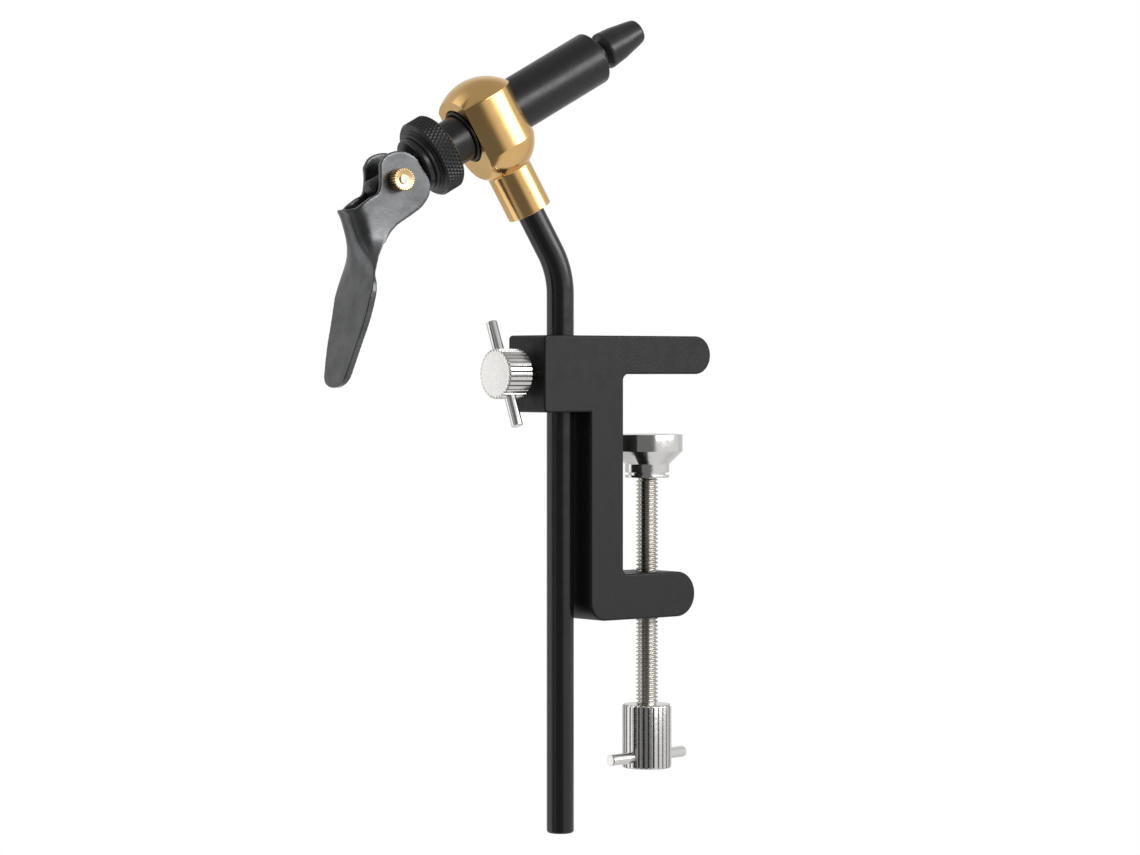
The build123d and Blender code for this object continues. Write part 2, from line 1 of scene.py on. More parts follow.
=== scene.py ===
# Looks for a fly-tying vise on a table clamp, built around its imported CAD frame.
# Everything is in metres and in the frame's own axes: +X towards the table, +Z up,
# with the origin on the underside of the clamp's upper arm, over the table screw.
import bmesh
import bpy
import numpy as np
import json
import math
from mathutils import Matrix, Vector

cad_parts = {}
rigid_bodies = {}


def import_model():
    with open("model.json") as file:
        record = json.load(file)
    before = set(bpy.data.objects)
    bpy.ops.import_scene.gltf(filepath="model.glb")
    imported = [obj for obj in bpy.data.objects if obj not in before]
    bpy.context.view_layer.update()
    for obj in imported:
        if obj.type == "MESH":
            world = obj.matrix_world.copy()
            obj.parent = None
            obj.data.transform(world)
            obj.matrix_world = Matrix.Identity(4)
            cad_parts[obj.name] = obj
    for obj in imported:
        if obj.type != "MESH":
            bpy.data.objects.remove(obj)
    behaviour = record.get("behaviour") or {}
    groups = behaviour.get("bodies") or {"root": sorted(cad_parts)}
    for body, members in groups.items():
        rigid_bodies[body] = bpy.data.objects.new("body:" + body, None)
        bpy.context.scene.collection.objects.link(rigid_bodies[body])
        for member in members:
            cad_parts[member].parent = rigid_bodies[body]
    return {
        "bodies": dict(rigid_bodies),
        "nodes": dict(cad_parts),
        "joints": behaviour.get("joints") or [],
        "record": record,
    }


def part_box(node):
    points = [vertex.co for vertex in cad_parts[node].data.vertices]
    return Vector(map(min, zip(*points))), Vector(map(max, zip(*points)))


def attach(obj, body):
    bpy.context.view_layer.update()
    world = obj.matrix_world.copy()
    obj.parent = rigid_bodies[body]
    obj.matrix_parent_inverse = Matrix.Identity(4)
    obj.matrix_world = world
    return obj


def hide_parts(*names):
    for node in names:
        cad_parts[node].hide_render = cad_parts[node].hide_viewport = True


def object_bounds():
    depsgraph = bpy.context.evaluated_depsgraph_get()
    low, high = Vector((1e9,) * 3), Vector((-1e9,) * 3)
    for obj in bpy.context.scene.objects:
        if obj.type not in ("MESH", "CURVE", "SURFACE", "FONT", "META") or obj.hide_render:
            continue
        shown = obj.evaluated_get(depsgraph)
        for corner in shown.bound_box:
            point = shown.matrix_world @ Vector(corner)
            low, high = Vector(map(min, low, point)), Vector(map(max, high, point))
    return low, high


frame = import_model()
cad_low, cad_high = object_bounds()
nodes = frame["nodes"]
joints = {joint["name"]: joint for joint in frame["joints"]}

# ---------------------------------------------------------------- camera
# A long lens at the height of the clamp's upper arm, looking level past the near
# corner of the stem block, and tipped down by one degree.
camera_turn = math.radians(-39.0)
camera_tip = math.radians(1.0)
camera_distance = 1.1514
camera_side, camera_height = 0.0034, 0.0015
stem_half_width = 0.0047625
stem_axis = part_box("stem")[1].x - stem_half_width
camera_data = bpy.data.cameras.new("camera")
camera_data.lens = 104.2
camera_data.sensor_width = 36.0
camera_data.clip_end = 20.0
camera = bpy.data.objects.new("camera", camera_data)
bpy.context.scene.collection.objects.link(camera)
bpy.context.scene.camera = camera
sight = Vector((-math.sin(camera_turn), math.cos(camera_turn), 0.0))
screen_right = Vector((sight.y, -sight.x, 0.0))
camera.location = Vector((stem_axis, 0.0, 0.0)) - sight * camera_distance + screen_right * camera_side
camera.location.z = camera_height
camera.rotation_euler = (math.radians(90.0) - camera_tip, 0.0, camera_turn)

# ---------------------------------------------------------------- studio
# A pale floor well below the stem's foot and a surround painted by the angle round the
# vise: pale at the sides, dim in front, with one bright soft patch low on the right.
floor_gap = 0.10
floor_reach = 30.0
floor_height = cad_low.z - floor_gap
floor_mesh = bpy.data.meshes.new("studio_floor")
floor_mesh.from_pydata(
    [(-floor_reach, -floor_reach, floor_height), (floor_reach, -floor_reach, floor_height),
     (floor_reach, floor_reach, floor_height), (-floor_reach, floor_reach, floor_height)], [],
     [(0, 1, 2, 3)])
floor = bpy.data.objects.new("studio_floor", floor_mesh)
bpy.context.scene.collection.objects.link(floor)
floor_paint = bpy.data.materials.new("studio_white")
floor_paint.use_nodes = True
paint = floor_paint.node_tree.nodes["Principled BSDF"]
paint.inputs["Base Color"].default_value = (0.6, 0.6, 0.6, 1.0)
paint.inputs["Roughness"].default_value = 0.9
floor.data.materials.append(floor_paint)
floor.visible_camera = False
floor.visible_glossy = False


def studio_world():
    """White to the camera. To the object, a brightness set by the angle from the camera's side,
    positive to the right, which fades to an even grey high above, plus the soft patch."""
    patch_middle, patch_rise, patch_light = 62.0, 0.27, 5.0
    high_from, high_to, high_grey = 0.62, 0.86, 0.45
    world = bpy.data.worlds.new("studio")
    bpy.context.scene.world = world
    world.use_nodes = True
    tree = world.node_tree
    tree.nodes.clear()
    make, link = tree.nodes.new, tree.links.new

    def reckon(operation, *values):
        """A sum on numbers or on other nodes' outputs."""
        node = make("ShaderNodeMath")
        node.operation = operation
        for socket, value in zip(node.inputs, values):
            if isinstance(value, float):
                socket.default_value = value
            else:
                link(value, socket)
        return node.outputs["Value"]

    def faded(value, start, end, top=1.0, curve="SMOOTHSTEP"):
        """Nought at the start, rising to the top value at the end."""
        node = make("ShaderNodeMapRange")
        node.interpolation_type = curve
        node.inputs["From Min"].default_value = start
        node.inputs["From Max"].default_value = end
        node.inputs["To Max"].default_value = top
        link(value, node.inputs["Value"])
        return node.outputs["Result"]

    direction = make("ShaderNodeTexCoord")
    parts = []
    for axis in (-sight, screen_right):
        reading = make("ShaderNodeVectorMath")
        reading.operation = "DOT_PRODUCT"
        reading.inputs[1].default_value = (axis.x, axis.y, 0.0)
        link(direction.outputs["Generated"], reading.inputs[0])
        parts.append(reading.outputs["Value"])
    angle = reckon("ARCTAN2", parts[1], parts[0])
    ramp = make("ShaderNodeValToRGB")
    stops = [(-180, 0.8), (-150, 0.65), (-138, 0.6), (-114, 0.6), (-107, 1.15), (-74, 1.1), (-70, 0.05),
             (-63, 0.05), (-58, 0.5), (-38, 0.4), (-30, 0.16), (19, 0.16), (34, 0.75), (112, 0.75),
             (130, 0.6), (180, 0.8)]
    elements = ramp.color_ramp.elements
    elements[0].color = (stops[0][1],) * 3 + (1.0,)
    elements[-1].color = (stops[-1][1],) * 3 + (1.0,)
    for degrees, light in stops[1:-1]:
        elements.new((degrees + 180) / 360).color = (light, light, light, 1.0)
    link(faded(angle, -math.pi, math.pi, curve="LINEAR"), ramp.inputs["Fac"])
    upward = make("ShaderNodeSeparateXYZ")
    link(direction.outputs["Generated"], upward.inputs["Vector"])
    overhead = make("ShaderNodeMixRGB")
    overhead.inputs["Color2"].default_value = (high_grey, high_grey, high_grey, 1.0)
    link(faded(upward.outputs["Z"], high_from, high_to, curve="LINEAR"), overhead.inputs["Fac"])
    link(ramp.outputs["Color"], overhead.inputs["Color1"])
    degrees_off = reckon("ABSOLUTE", reckon("MULTIPLY_ADD", angle, math.degrees(1.0), -patch_middle))
    rise_off = reckon("ABSOLUTE", reckon("SUBTRACT", upward.outputs["Z"], patch_rise))
    patch = reckon("MULTIPLY", faded(degrees_off, 38.0, 26.0), faded(rise_off, 0.20, 0.11, patch_light))
    lit = make("ShaderNodeVectorMath")
    link(overhead.outputs["Color"], lit.inputs[0])
    link(patch, lit.inputs[1])
    surround = make("ShaderNodeBackground")
    link(lit.outputs["Vector"], surround.inputs["Color"])
    seen = make("ShaderNodeBackground")
    seen.inputs["Color"].default_value = (1.0, 1.0, 1.0, 1.0)
    path = make("ShaderNodeLightPath")
    choose = make("ShaderNodeMixShader")
    link(path.outputs["Is Camera Ray"], choose.inputs["Fac"])
    link(surround.outputs["Background"], choose.inputs[1])
    link(seen.outputs["Background"], choose.inputs[2])
    output = make("ShaderNodeOutputWorld")
    link(choose.outputs["Shader"], output.inputs["Surface"])


studio_world()
bpy.context.scene.view_settings.view_transform = "Standard"


# ---------------------------------------------------------------- C-clamp frame
# The frame is one aluminium casting, milled on its faces and powder coated in a
# satin black with a very fine texture. The stem and both screws pass through it.
def shader(material):
    """The material's Principled shader."""
    return material.node_tree.nodes["Principled BSDF"]


def new_material(name, roughness, metallic, color=None):
    """A named material with its constants on the shader's own sockets."""
    material = bpy.data.materials.new(name)
    material.use_nodes = True
    surface = shader(material)
    surface.inputs["Roughness"].default_value = roughness
    surface.inputs["Metallic"].default_value = metallic
    if color is not None:
        surface.inputs["Base Color"].default_value = (*color, 1.0)
    return material


def noise(material, scale, detail=3.0, roughness=0.5):
    """A noise pattern on object coordinates; gives its output."""
    tree = material.node_tree
    place = tree.nodes.new("ShaderNodeTexCoord")
    pattern = tree.nodes.new("ShaderNodeTexNoise")
    pattern.inputs["Scale"].default_value = scale
    pattern.inputs["Detail"].default_value = detail
    pattern.inputs["Roughness"].default_value = roughness
    tree.links.new(place.outputs["Object"], pattern.inputs["Vector"])
    return pattern.outputs["Fac"]


def spread(material, value, low, high, start=0.3, end=0.7):
    """Stretch a 0-1 pattern onto a range, for roughness and the like."""
    ranger = material.node_tree.nodes.new("ShaderNodeMapRange")
    ranger.inputs["From Min"].default_value = start
    ranger.inputs["From Max"].default_value = end
    ranger.inputs["To Min"].default_value = low
    ranger.inputs["To Max"].default_value = high
    material.node_tree.links.new(value, ranger.inputs["Value"])
    return ranger.outputs["Result"]


def tint(material, value, dark, light, start=0.3, end=0.7):
    """Blend between two colours by a pattern and drive the base colour with it: close colours give a random
    tone, and the knobs' near-black second colour gives painted shade in their grooves.
    """
    ramp = material.node_tree.nodes.new("ShaderNodeValToRGB")
    ramp.color_ramp.elements[0].position = start
    ramp.color_ramp.elements[0].color = (*dark, 1.0)
    ramp.color_ramp.elements[1].position = end
    ramp.color_ramp.elements[1].color = (*light, 1.0)
    material.node_tree.links.new(value, ramp.inputs["Fac"])
    material.node_tree.links.new(ramp.outputs["Color"], shader(material).inputs["Base Color"])


def drive_roughness(material, value):
    """Let a pattern set the roughness."""
    material.node_tree.links.new(value, shader(material).inputs["Roughness"])


def emboss(material, value, depth):
    """Raise the surface a little by a pattern; a second call adds to the first."""
    bump = material.node_tree.nodes.new("ShaderNodeBump")
    bump.inputs["Distance"].default_value = depth
    bump.inputs["Strength"].default_value = 1.0
    surface = shader(material)
    earlier = surface.inputs["Normal"].links
    if earlier:
        material.node_tree.links.new(earlier[0].from_socket, bump.inputs["Normal"])
    material.node_tree.links.new(value, bump.inputs["Height"])
    material.node_tree.links.new(bump.outputs["Normal"], surface.inputs["Normal"])


def refinish(node_name, material):
    """Put a finish into every material slot of a CAD node."""
    for slot in nodes[node_name].material_slots:
        slot.material = material


powder_coat = new_material("clamp_powder_coat", 0.45, 0.0)
tint(powder_coat, noise(powder_coat, 1800.0), (0.003, 0.003, 0.0032), (0.006, 0.006, 0.0065))
shader(powder_coat).inputs["Specular IOR Level"].default_value = 0.35
drive_roughness(powder_coat, spread(powder_coat, noise(powder_coat, 240.0), 0.40, 0.52))
emboss(powder_coat, noise(powder_coat, 2600.0, detail=4.0), 0.00004)
refinish("clamp_frame", powder_coat)


# ---------------------------------------------------------------- table screw
# A 5/16 inch steel screw with 18 rolled threads to the inch. Its round head turns in
# the pad, and its plain foot is pressed into the knob.
def grid_faces(rows, columns, close_rows=False, close_columns=True):
    """Quads between neighbouring rows and columns of a grid; a closed direction wraps round."""
    row = np.arange(rows if close_rows else rows - 1)
    column = np.arange(columns if close_columns else columns - 1)
    row, column = np.meshgrid(row, column, indexing="ij")
    next_row, next_column = (row + 1) % rows, (column + 1) % columns
    corners = [row * columns + column, row * columns + next_column,
               next_row * columns + next_column, next_row * columns + column]
    return np.stack(corners, -1).reshape(-1, 4)


def placed(points, place):
    """Carry points in millimetres through a piece's own frame into the vise's metres."""
    return (points.reshape(-1, 3) @ place[:3, :3].T + place[:3, 3]) * 0.001


def add_piece(name, points, faces, place, material, crease=28.0):
    """A mesh object whose seams and poles are merged, facing outwards, smooth up to the crease angle."""
    mesh = bpy.data.meshes.new(name)
    mesh.from_pydata(placed(points, place).tolist(), [], faces.tolist())
    shell = bmesh.new()
    shell.from_mesh(mesh)
    bmesh.ops.remove_doubles(shell, verts=shell.verts, dist=2e-7)
    bmesh.ops.recalc_face_normals(shell, faces=shell.faces)
    shell.to_mesh(mesh)
    shell.free()
    mesh.shade_smooth()
    mesh.set_sharp_from_angle(angle=math.radians(crease))
    mesh.materials.append(material)
    piece = bpy.data.objects.new(name, mesh)
    bpy.context.scene.collection.objects.link(piece)
    return piece


def upright(x, y, z):
    """A frame in millimetres with its axes along the vise's own."""
    place = np.eye(4)
    place[:3, 3] = (x, y, z)
    return place


screw_crest = 3.969
screw_pitch = 25.4 / 18
thread_depth = 0.80
screw_neck = 2.7
screw_head = 4.1
screw_head_depth = 2.3
screw_head_chamfer = 0.4
rod_into_knob = 14.0
ring_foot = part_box("pad_retaining_ring")[0].z * 1000
knob_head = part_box("table_knob")[1].z * 1000
screw_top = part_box("table_screw")[1].z * 1000


def thread_radius(phase, crest, depth):
    """Radius over one pitch: a narrow crest, straight flanks and a wider rounded root."""
    from_crest = np.abs(phase - np.floor(phase) - 0.5) * 2
    flank = np.clip((from_crest - 0.14) / 0.62, 0.0, 1.0)
    return crest - depth * (flank * flank * (3 - 2 * flank) * 0.35 + flank * 0.65)


def threaded_rod(start, end, crest, depth, pitch, before, after, columns=56):
    """Radius as a function of height and angle: the thread's profile advances one pitch each
    turn, is turned down to a chamfer at both ends, and plain (radius, height) rows go before
    and after it. Each row is a circle of such radii."""
    rows = int((start - end) / pitch * 14)
    height = np.linspace(start, end, rows)[:, None]
    angle = np.arange(columns)[None, :] * 2 * np.pi / columns
    radius = thread_radius(height / pitch - angle / (2 * np.pi), crest, depth)
    chamfer = crest - depth + np.minimum(start - height, height - end) * 1.2
    radius = np.minimum(radius, chamfer)
    first, last = (np.repeat(np.array(pairs, float)[..., None], columns, axis=2) for pairs in (before,
                                                                                               after))
    radius = np.vstack([first[:, 0], radius, last[:, 0]])
    height = np.vstack([first[:, 1], np.repeat(height, columns, axis=1), last[:, 1]])
    points = np.stack([radius * np.cos(angle), radius * np.sin(angle), height], -1)
    return points, grid_faces(len(points), columns)


screw_steel = new_material("screw_steel", 0.24, 1.0)
tint(screw_steel, noise(screw_steel, 150.0), (0.56, 0.53, 0.49), (0.64, 0.62, 0.58))
drive_roughness(screw_steel, spread(screw_steel, noise(screw_steel, 250.0), 0.16, 0.24))
screw_rows, screw_faces = threaded_rod(
    ring_foot - 0.2, knob_head - 1.0, screw_crest, thread_depth, screw_pitch,
    [(0.0, screw_top), (screw_head - screw_head_chamfer, screw_top),
     (screw_head, screw_top - screw_head_chamfer),
     (screw_head, screw_top - screw_head_depth), (screw_neck, screw_top - screw_head_depth),
     (screw_neck, ring_foot - 0.15)],
    [(screw_crest - thread_depth, knob_head - rod_into_knob), (0.0, knob_head - rod_into_knob)])
rod_piece = add_piece("table_screw_rod", screw_rows, screw_faces, upright(0, 0, 0), screw_steel,
                      crease=80.0)
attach(rod_piece, "table_screw")
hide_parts("table_screw")


# ---------------------------------------------------------------- pad and its ring
# The pad and the ring pressed under it are turned from bar and nickel plated bright,
# with the fine rings that the lathe tool left.
def rounded(outline, steps=4):
    """Replace each corner of an outline of (radius, height, rounding) by an arc that is tangent
    to both of its sides; a corner whose rounding is zero stays sharp."""
    points = [np.array(corner[:2], float) for corner in outline]
    result = []
    for i, corner in enumerate(outline):
        here, size = points[i], corner[2]
        if size == 0:
            result.append(here)
            continue
        before, after = points[i - 1] - here, points[(i + 1) % len(points)] - here
        before, after = before / np.linalg.norm(before), after / np.linalg.norm(after)
        half = np.arccos(np.clip(before @ after, -1, 1)) / 2
        centre = here + (before + after) / np.linalg.norm(before + after) * size / np.sin(half)
        first = here + before * size / np.tan(half) - centre
        last = here + after * size / np.tan(half) - centre
        sweep_angle = np.pi - 2 * half
        for share in np.linspace(0, 1, steps + 1):
            mixed = (np.sin((1 - share) * sweep_angle) * first + np.sin(share * sweep_angle) * last)
            result.append(centre + mixed / np.sin(sweep_angle))
    return np.array(result)


def turned(outline, columns=128, closed=False):
    """An outline of (radius, height, rounding) carried round the axis. A closed outline makes
    a ring or tube, and an open one starts and ends on the axis."""
    profile = rounded(outline)
    angle = np.arange(columns) * 2 * np.pi / columns
    points = np.stack([profile[:, :1] * np.cos(angle), profile[:, :1] * np.sin(angle),
                       np.repeat(profile[:, 1:], columns, axis=1)], -1)
    return points, grid_faces(len(profile), columns, close_rows=closed)


def lathe_rings(material, axis_turn, pitch, depth):
    """Fine turning marks: a wave on the distance along the piece's axis, broken up by noise."""
    tree = material.node_tree
    place = tree.nodes.new("ShaderNodeTexCoord")
    mapping = tree.nodes.new("ShaderNodeMapping")
    mapping.inputs["Rotation"].default_value = axis_turn
    wave = tree.nodes.new("ShaderNodeTexWave")
    wave.bands_direction = "Z"
    wave.inputs["Scale"].default_value = 1.0 / (pitch * 0.001) / 20.0
    wave.inputs["Distortion"].default_value = 1.5
    wave.inputs["Detail"].default_value = 2.0
    tree.links.new(place.outputs["Object"], mapping.inputs["Vector"])
    tree.links.new(mapping.outputs["Vector"], wave.inputs["Vector"])
    emboss(material, wave.outputs["Fac"], depth * 0.001)


pad_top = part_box("pressure_pad")[1].z * 1000
pad_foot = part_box("pressure_pad")[0].z * 1000
pad_rim = pad_top - 6.0
pad_radius = 12.7
pad_hub = 7.94
ring_seat = 6.6
ring_bore = 2.9
socket_radius = 4.4
cone_depth = 4.65
bright_nickel = new_material("bright_nickel", 0.14, 1.0, (0.80, 0.79, 0.77))
drive_roughness(bright_nickel, spread(bright_nickel, noise(bright_nickel, 700.0), 0.10, 0.20))
lathe_rings(bright_nickel, (0.0, 0.0, 0.0), 0.16, 0.0012)
pad_piece = add_piece("pad_turned", *turned([
    (0.0, pad_top, 0), (pad_radius, pad_top, 0.35), (pad_radius, pad_rim, 0.2),
    (pad_hub, pad_rim - cone_depth, 0.25), (pad_hub, pad_foot, 0.2), (ring_seat, pad_foot, 0),
    (ring_seat, pad_foot + 0.2, 0), (socket_radius, pad_foot + 0.2, 0), (socket_radius, pad_foot + 2.9, 0),
    (0.0, pad_foot + 2.9, 0)], columns=160), upright(0, 0, 0), bright_nickel)
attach(pad_piece, "pad")
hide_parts("pressure_pad")
ring_piece = add_piece("pad_ring_turned", *turned([
    (ring_bore, ring_foot, 0.1), (pad_hub, ring_foot, 0.25), (pad_hub, ring_foot + 1.0, 0.15),
    (ring_seat, ring_foot + 1.0, 0), (ring_seat, pad_foot + 0.2, 0), (ring_bore, pad_foot + 0.2, 0)],
    closed=True), upright(0, 0, 0), bright_nickel)
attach(ring_piece, "pad")
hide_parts("pad_retaining_ring")


# ---------------------------------------------------------------- table knob and bar
# The knob is turned, cut with straight ridges and plated. The plain bar is pressed
# through it near the bottom, so the knob can be turned hard.
def ridged(radius, length, ridges, groove, edge, face_dish=0.0, columns_each=14):
    """Radius as a function of angle and height: rounded grooves at an even pitch that fade out
    over the chamfer at each end; the end faces run in to the axis."""
    columns = ridges * columns_each
    angle = np.arange(columns) * 2 * np.pi / columns
    phase = (np.arange(columns) % columns_each) / columns_each
    crest = np.clip((np.abs(phase - 0.5) * 2 - 0.08) / 0.36, 0.0, 1.0)
    cut = groove * (1 - crest * crest * (3 - 2 * crest))
    arc = np.linspace(0, np.pi / 2, 5)
    rise = np.concatenate([[0.0, 0.0], edge * (1 - np.cos(arc)), [length / 2]])
    shrink = np.concatenate([[radius, 1.6 * edge + groove], edge * (1 - np.sin(arc)), [0.0]])
    height = np.concatenate([rise, length - rise[::-1][1:]])
    shrink = np.concatenate([shrink, shrink[::-1][1:]])
    fade = np.clip(1 - shrink / (1.6 * edge + groove), 0.0, 1.0)
    reach = (radius - shrink)[:, None] - cut[None, :] * np.sqrt(fade)[:, None]
    reach = np.maximum(reach, 0.0)
    dish = face_dish * (1 - np.clip(reach / (radius - edge), 0, 1) ** 2)
    lift = np.where(np.arange(len(height))[:, None] < len(height) // 2, dish, -dish)
    points = np.stack([reach * np.cos(angle), reach * np.sin(angle), height[:, None] + lift], -1)
    return points, grid_faces(len(height), columns)


def shade_grooves(piece, frame, radius, length, groove, edge):
    """Stores a number on each point: nought on ridges and end faces, rising to one with the depth below the
    crest radius between the two chamfers. The knobs' finishes turn it into painted shade, darker the deeper
    the groove."""
    mesh = piece.data
    points = np.empty(len(mesh.vertices) * 3)
    mesh.vertices.foreach_get("co", points)
    local = (points.reshape(-1, 3) * 1000 - frame[:3, 3]) @ frame[:3, :3]
    depth = np.clip((radius - np.hypot(local[:, 0], local[:, 1])) / groove, 0.0, 1.0)
    walled = (local[:, 2] > edge) & (local[:, 2] < length - edge)
    stored = mesh.attributes.new("groove_depth", "FLOAT", "POINT")
    stored.data.foreach_set("value", np.where(walled, depth, 0.0))


def groove_depth(material):
    """The number that shade_grooves stores, as a pattern."""
    stored = material.node_tree.nodes.new("ShaderNodeAttribute")
    stored.attribute_name = "groove_depth"
    return stored.outputs["Fac"]


def plain_bar(length, radius, edge=0.35):
    """A straight rod along its own axis, centred, with small rounded chamfers."""
    half = length / 2
    return turned([(0.0, -half, 0), (radius, -half, edge), (radius, half, edge), (0.0, half, 0)],
                  columns=48)


def along(origin, axis, side):
    """A frame whose third axis is the given one and whose first is the given side."""
    third = np.array(axis, float) / np.linalg.norm(axis)
    first = np.array(side, float) - third * (np.array(side, float) @ third)
    first = first / np.linalg.norm(first)
    place = np.eye(4)
    place[:3, 0], place[:3, 1], place[:3, 2] = first, np.cross(third, first), third
    place[:3, 3] = origin
    return place


knob_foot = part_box("table_knob")[0].z * 1000
knob_length = knob_head - knob_foot
knob_radius = 8.75
knob_chamfer = 0.7
ridge_groove = 0.55
walled_from = 0.68
bar_length = 38.6
bar_radius = 2.0
# The first colour is the nickel's own; the second is painted shade, near black, laid into the grooves
# between the ridges by their depth.
plated, groove_painted_shade = (0.78, 0.77, 0.75), (0.07, 0.07, 0.07)
bar_low, bar_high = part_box("table_knob_bar")
bar_middle = np.array((bar_low + bar_high) / 2) * 1000
bar_turn = math.radians(8.0)
knob_nickel = new_material("knob_nickel", 0.2, 1.0)
# Painted shade: the base colour darkens from nickel to near black with the depth of each groove.
tint(knob_nickel, groove_depth(knob_nickel), plated, groove_painted_shade, 0.4, 0.95)
drive_roughness(knob_nickel, spread(knob_nickel, noise(knob_nickel, 900.0), 0.15, 0.28))
emboss(knob_nickel, noise(knob_nickel, 1400.0, detail=4.0), 0.00001)
knob_piece = add_piece("table_knob_ridged",
                       *ridged(knob_radius, knob_length, 30, ridge_groove, knob_chamfer),
                       upright(0, 0, knob_foot), knob_nickel, crease=40.0)
shade_grooves(knob_piece, upright(0, 0, knob_foot), knob_radius, knob_length, ridge_groove, walled_from)
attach(knob_piece, "table_screw")
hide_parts("table_knob")
knob_bar = add_piece("table_knob_rod", *plain_bar(bar_length, bar_radius),
                     along(bar_middle, (math.cos(bar_turn), math.sin(bar_turn), 0), (0, 0, 1)),
                     bright_nickel)
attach(knob_bar, "table_screw")
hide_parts("table_knob_bar")

# ---------------------------------------------------------------- stem lock screw
# A thumb screw of the same make as the table knob, with a shallow dished and faced
# end, a plated shank and a soft brass tip that bears on the stem.
lock_low, lock_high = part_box("stem_lock_knob")
lock_middle = np.array((lock_low + lock_high) / 2) * 1000
lock_length = (lock_high.x - lock_low.x) * 1000
lock_start = lock_high.x * 1000
lock_radius = 8.7
shank_crest, shank_depth, shank_pitch, shank_plain = 3.15, 0.62, 1.27, 6.0
shank_low, shank_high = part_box("stem_lock_screw")
lock_frame = along((lock_start, lock_middle[1], lock_middle[2]), (-1, 0, 0), (0, -1, 0))
faced_nickel = new_material("knob_faced_nickel", 0.24, 1.0)
# Painted shade in the grooves, as on the table knob.
tint(faced_nickel, groove_depth(faced_nickel), plated, groove_painted_shade, 0.4, 0.95)
drive_roughness(faced_nickel, spread(faced_nickel, noise(faced_nickel, 800.0), 0.18, 0.30))
face_place = faced_nickel.node_tree.nodes.new("ShaderNodeTexCoord")
face_centre = faced_nickel.node_tree.nodes.new("ShaderNodeMapping")
face_centre.inputs["Location"].default_value = (0.0, -lock_middle[1] * 0.001, -lock_middle[2] * 0.001)
face_centre.inputs["Scale"].default_value = (0.0, 1.0, 1.0)
face_rings = faced_nickel.node_tree.nodes.new("ShaderNodeTexWave")
face_rings.wave_type = "RINGS"
face_rings.rings_direction = "X"
face_rings.inputs["Scale"].default_value = 260.0
face_rings.inputs["Distortion"].default_value = 0.6
faced_nickel.node_tree.links.new(face_place.outputs["Object"], face_centre.inputs["Vector"])
faced_nickel.node_tree.links.new(face_centre.outputs["Vector"], face_rings.inputs["Vector"])
emboss(faced_nickel, face_rings.outputs["Fac"], 0.000008)
lock_knob = add_piece("stem_lock_ridged", *ridged(lock_radius, lock_length, 32, ridge_groove, knob_chamfer,
                                                  face_dish=0.25), lock_frame, faced_nickel, crease=40.0)
shade_grooves(lock_knob, lock_frame, lock_radius, lock_length, ridge_groove, walled_from)
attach(lock_knob, "lock_screw")
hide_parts("stem_lock_knob")
rod_low, rod_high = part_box("stem_lock_bar")
rod_middle = np.array((rod_low + rod_high) / 2) * 1000
lock_lean = math.radians(22.0)
lock_bar = add_piece("stem_lock_rod", *plain_bar(bar_length, bar_radius),
                     along(rod_middle, (0, math.sin(lock_lean), math.cos(lock_lean)), (1, 0, 0)),
                     bright_nickel)
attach(lock_bar, "lock_screw")
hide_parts("stem_lock_bar")
shank_length = (shank_high.x - shank_low.x) * 1000
shank_rows, shank_faces = threaded_rod(
    shank_length - 0.2, shank_plain, shank_crest, shank_depth, shank_pitch,
    [(0.0, shank_length), (2.5, shank_length)], [(shank_crest - shank_depth, 0.0), (0.0, 0.0)], columns=48)
shank_frame = along((shank_low.x * 1000, lock_middle[1], lock_middle[2]), (1, 0, 0), (0, 1, 0))
shank = add_piece("stem_lock_shank", shank_rows, shank_faces, shank_frame, screw_steel)
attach(shank, "lock_screw")
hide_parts("stem_lock_screw")
soft_brass = new_material("soft_brass", 0.28, 1.0, (0.78, 0.55, 0.27))
drive_roughness(soft_brass, spread(soft_brass, noise(soft_brass, 900.0), 0.2, 0.34))
refinish("stem_lock_tip", soft_brass)


# ---------------------------------------------------------------- stem
# A drawn 3/8 inch rod, straight through the clamp, bent once by thirty degrees and
# finished in a hard, fairly glossy black. Its foot is turned to a small radius.
def carried(section_radius, path, direction, side):
    """Circles of the given radii carried along a path: each stands square to its direction."""
    columns = 96
    angle = np.arange(columns) * 2 * np.pi / columns
    up = np.cross(direction, side)
    ring = side * np.cos(angle)[None, :, None] + up[:, None, :] * np.sin(angle)[None, :, None]
    return path[:, None, :] + ring * section_radius[:, None, None], grid_faces(len(path), columns)


mm = 1000.0
stem_radius = 4.7625
stem_x = stem_axis * mm
stem_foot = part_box("stem")[0].z * mm
foot_radius = 1.0
stem_top_below = 14.5
bend_radius = 30.0
lean = math.asin(joints["barrel_spin"]["axis"][2])
swing_axis = np.array(joints["lever_swing"]["axis"])
across = np.cross(swing_axis, (0.0, 0.0, 1.0))
barrel_centre = np.array(joints["barrel_spin"]["pos_m"]) * mm
barrel_axis = np.array(joints["barrel_spin"]["axis"])
neck_axis = np.cross(barrel_axis, swing_axis)
socket_top = barrel_centre - neck_axis * stem_top_below
side_reach = -(barrel_centre - np.array((stem_x, 0, 0))) @ across
bend_corner = barrel_centre - neck_axis * (side_reach / math.sin(lean))
tangent_length = bend_radius * math.tan(lean / 2)
foot_turn = np.linspace(0, np.pi / 2, 6)
bend_turn = np.linspace(0, lean, 40)
bend_start = bend_corner - np.array((0, 0, tangent_length))
bend = bend_start - across * (bend_radius * (1 - np.cos(bend_turn)))[:, None]
bend = bend + np.array((0, 0, 1)) * (bend_radius * np.sin(bend_turn))[:, None]
foot = np.array((stem_x, 0, stem_foot)) + np.array((0, 0, foot_radius)) * (1 - np.cos(foot_turn))[:, None]
centre_line = np.vstack([[(stem_x, 0, stem_foot)], foot, bend, [socket_top, socket_top]])
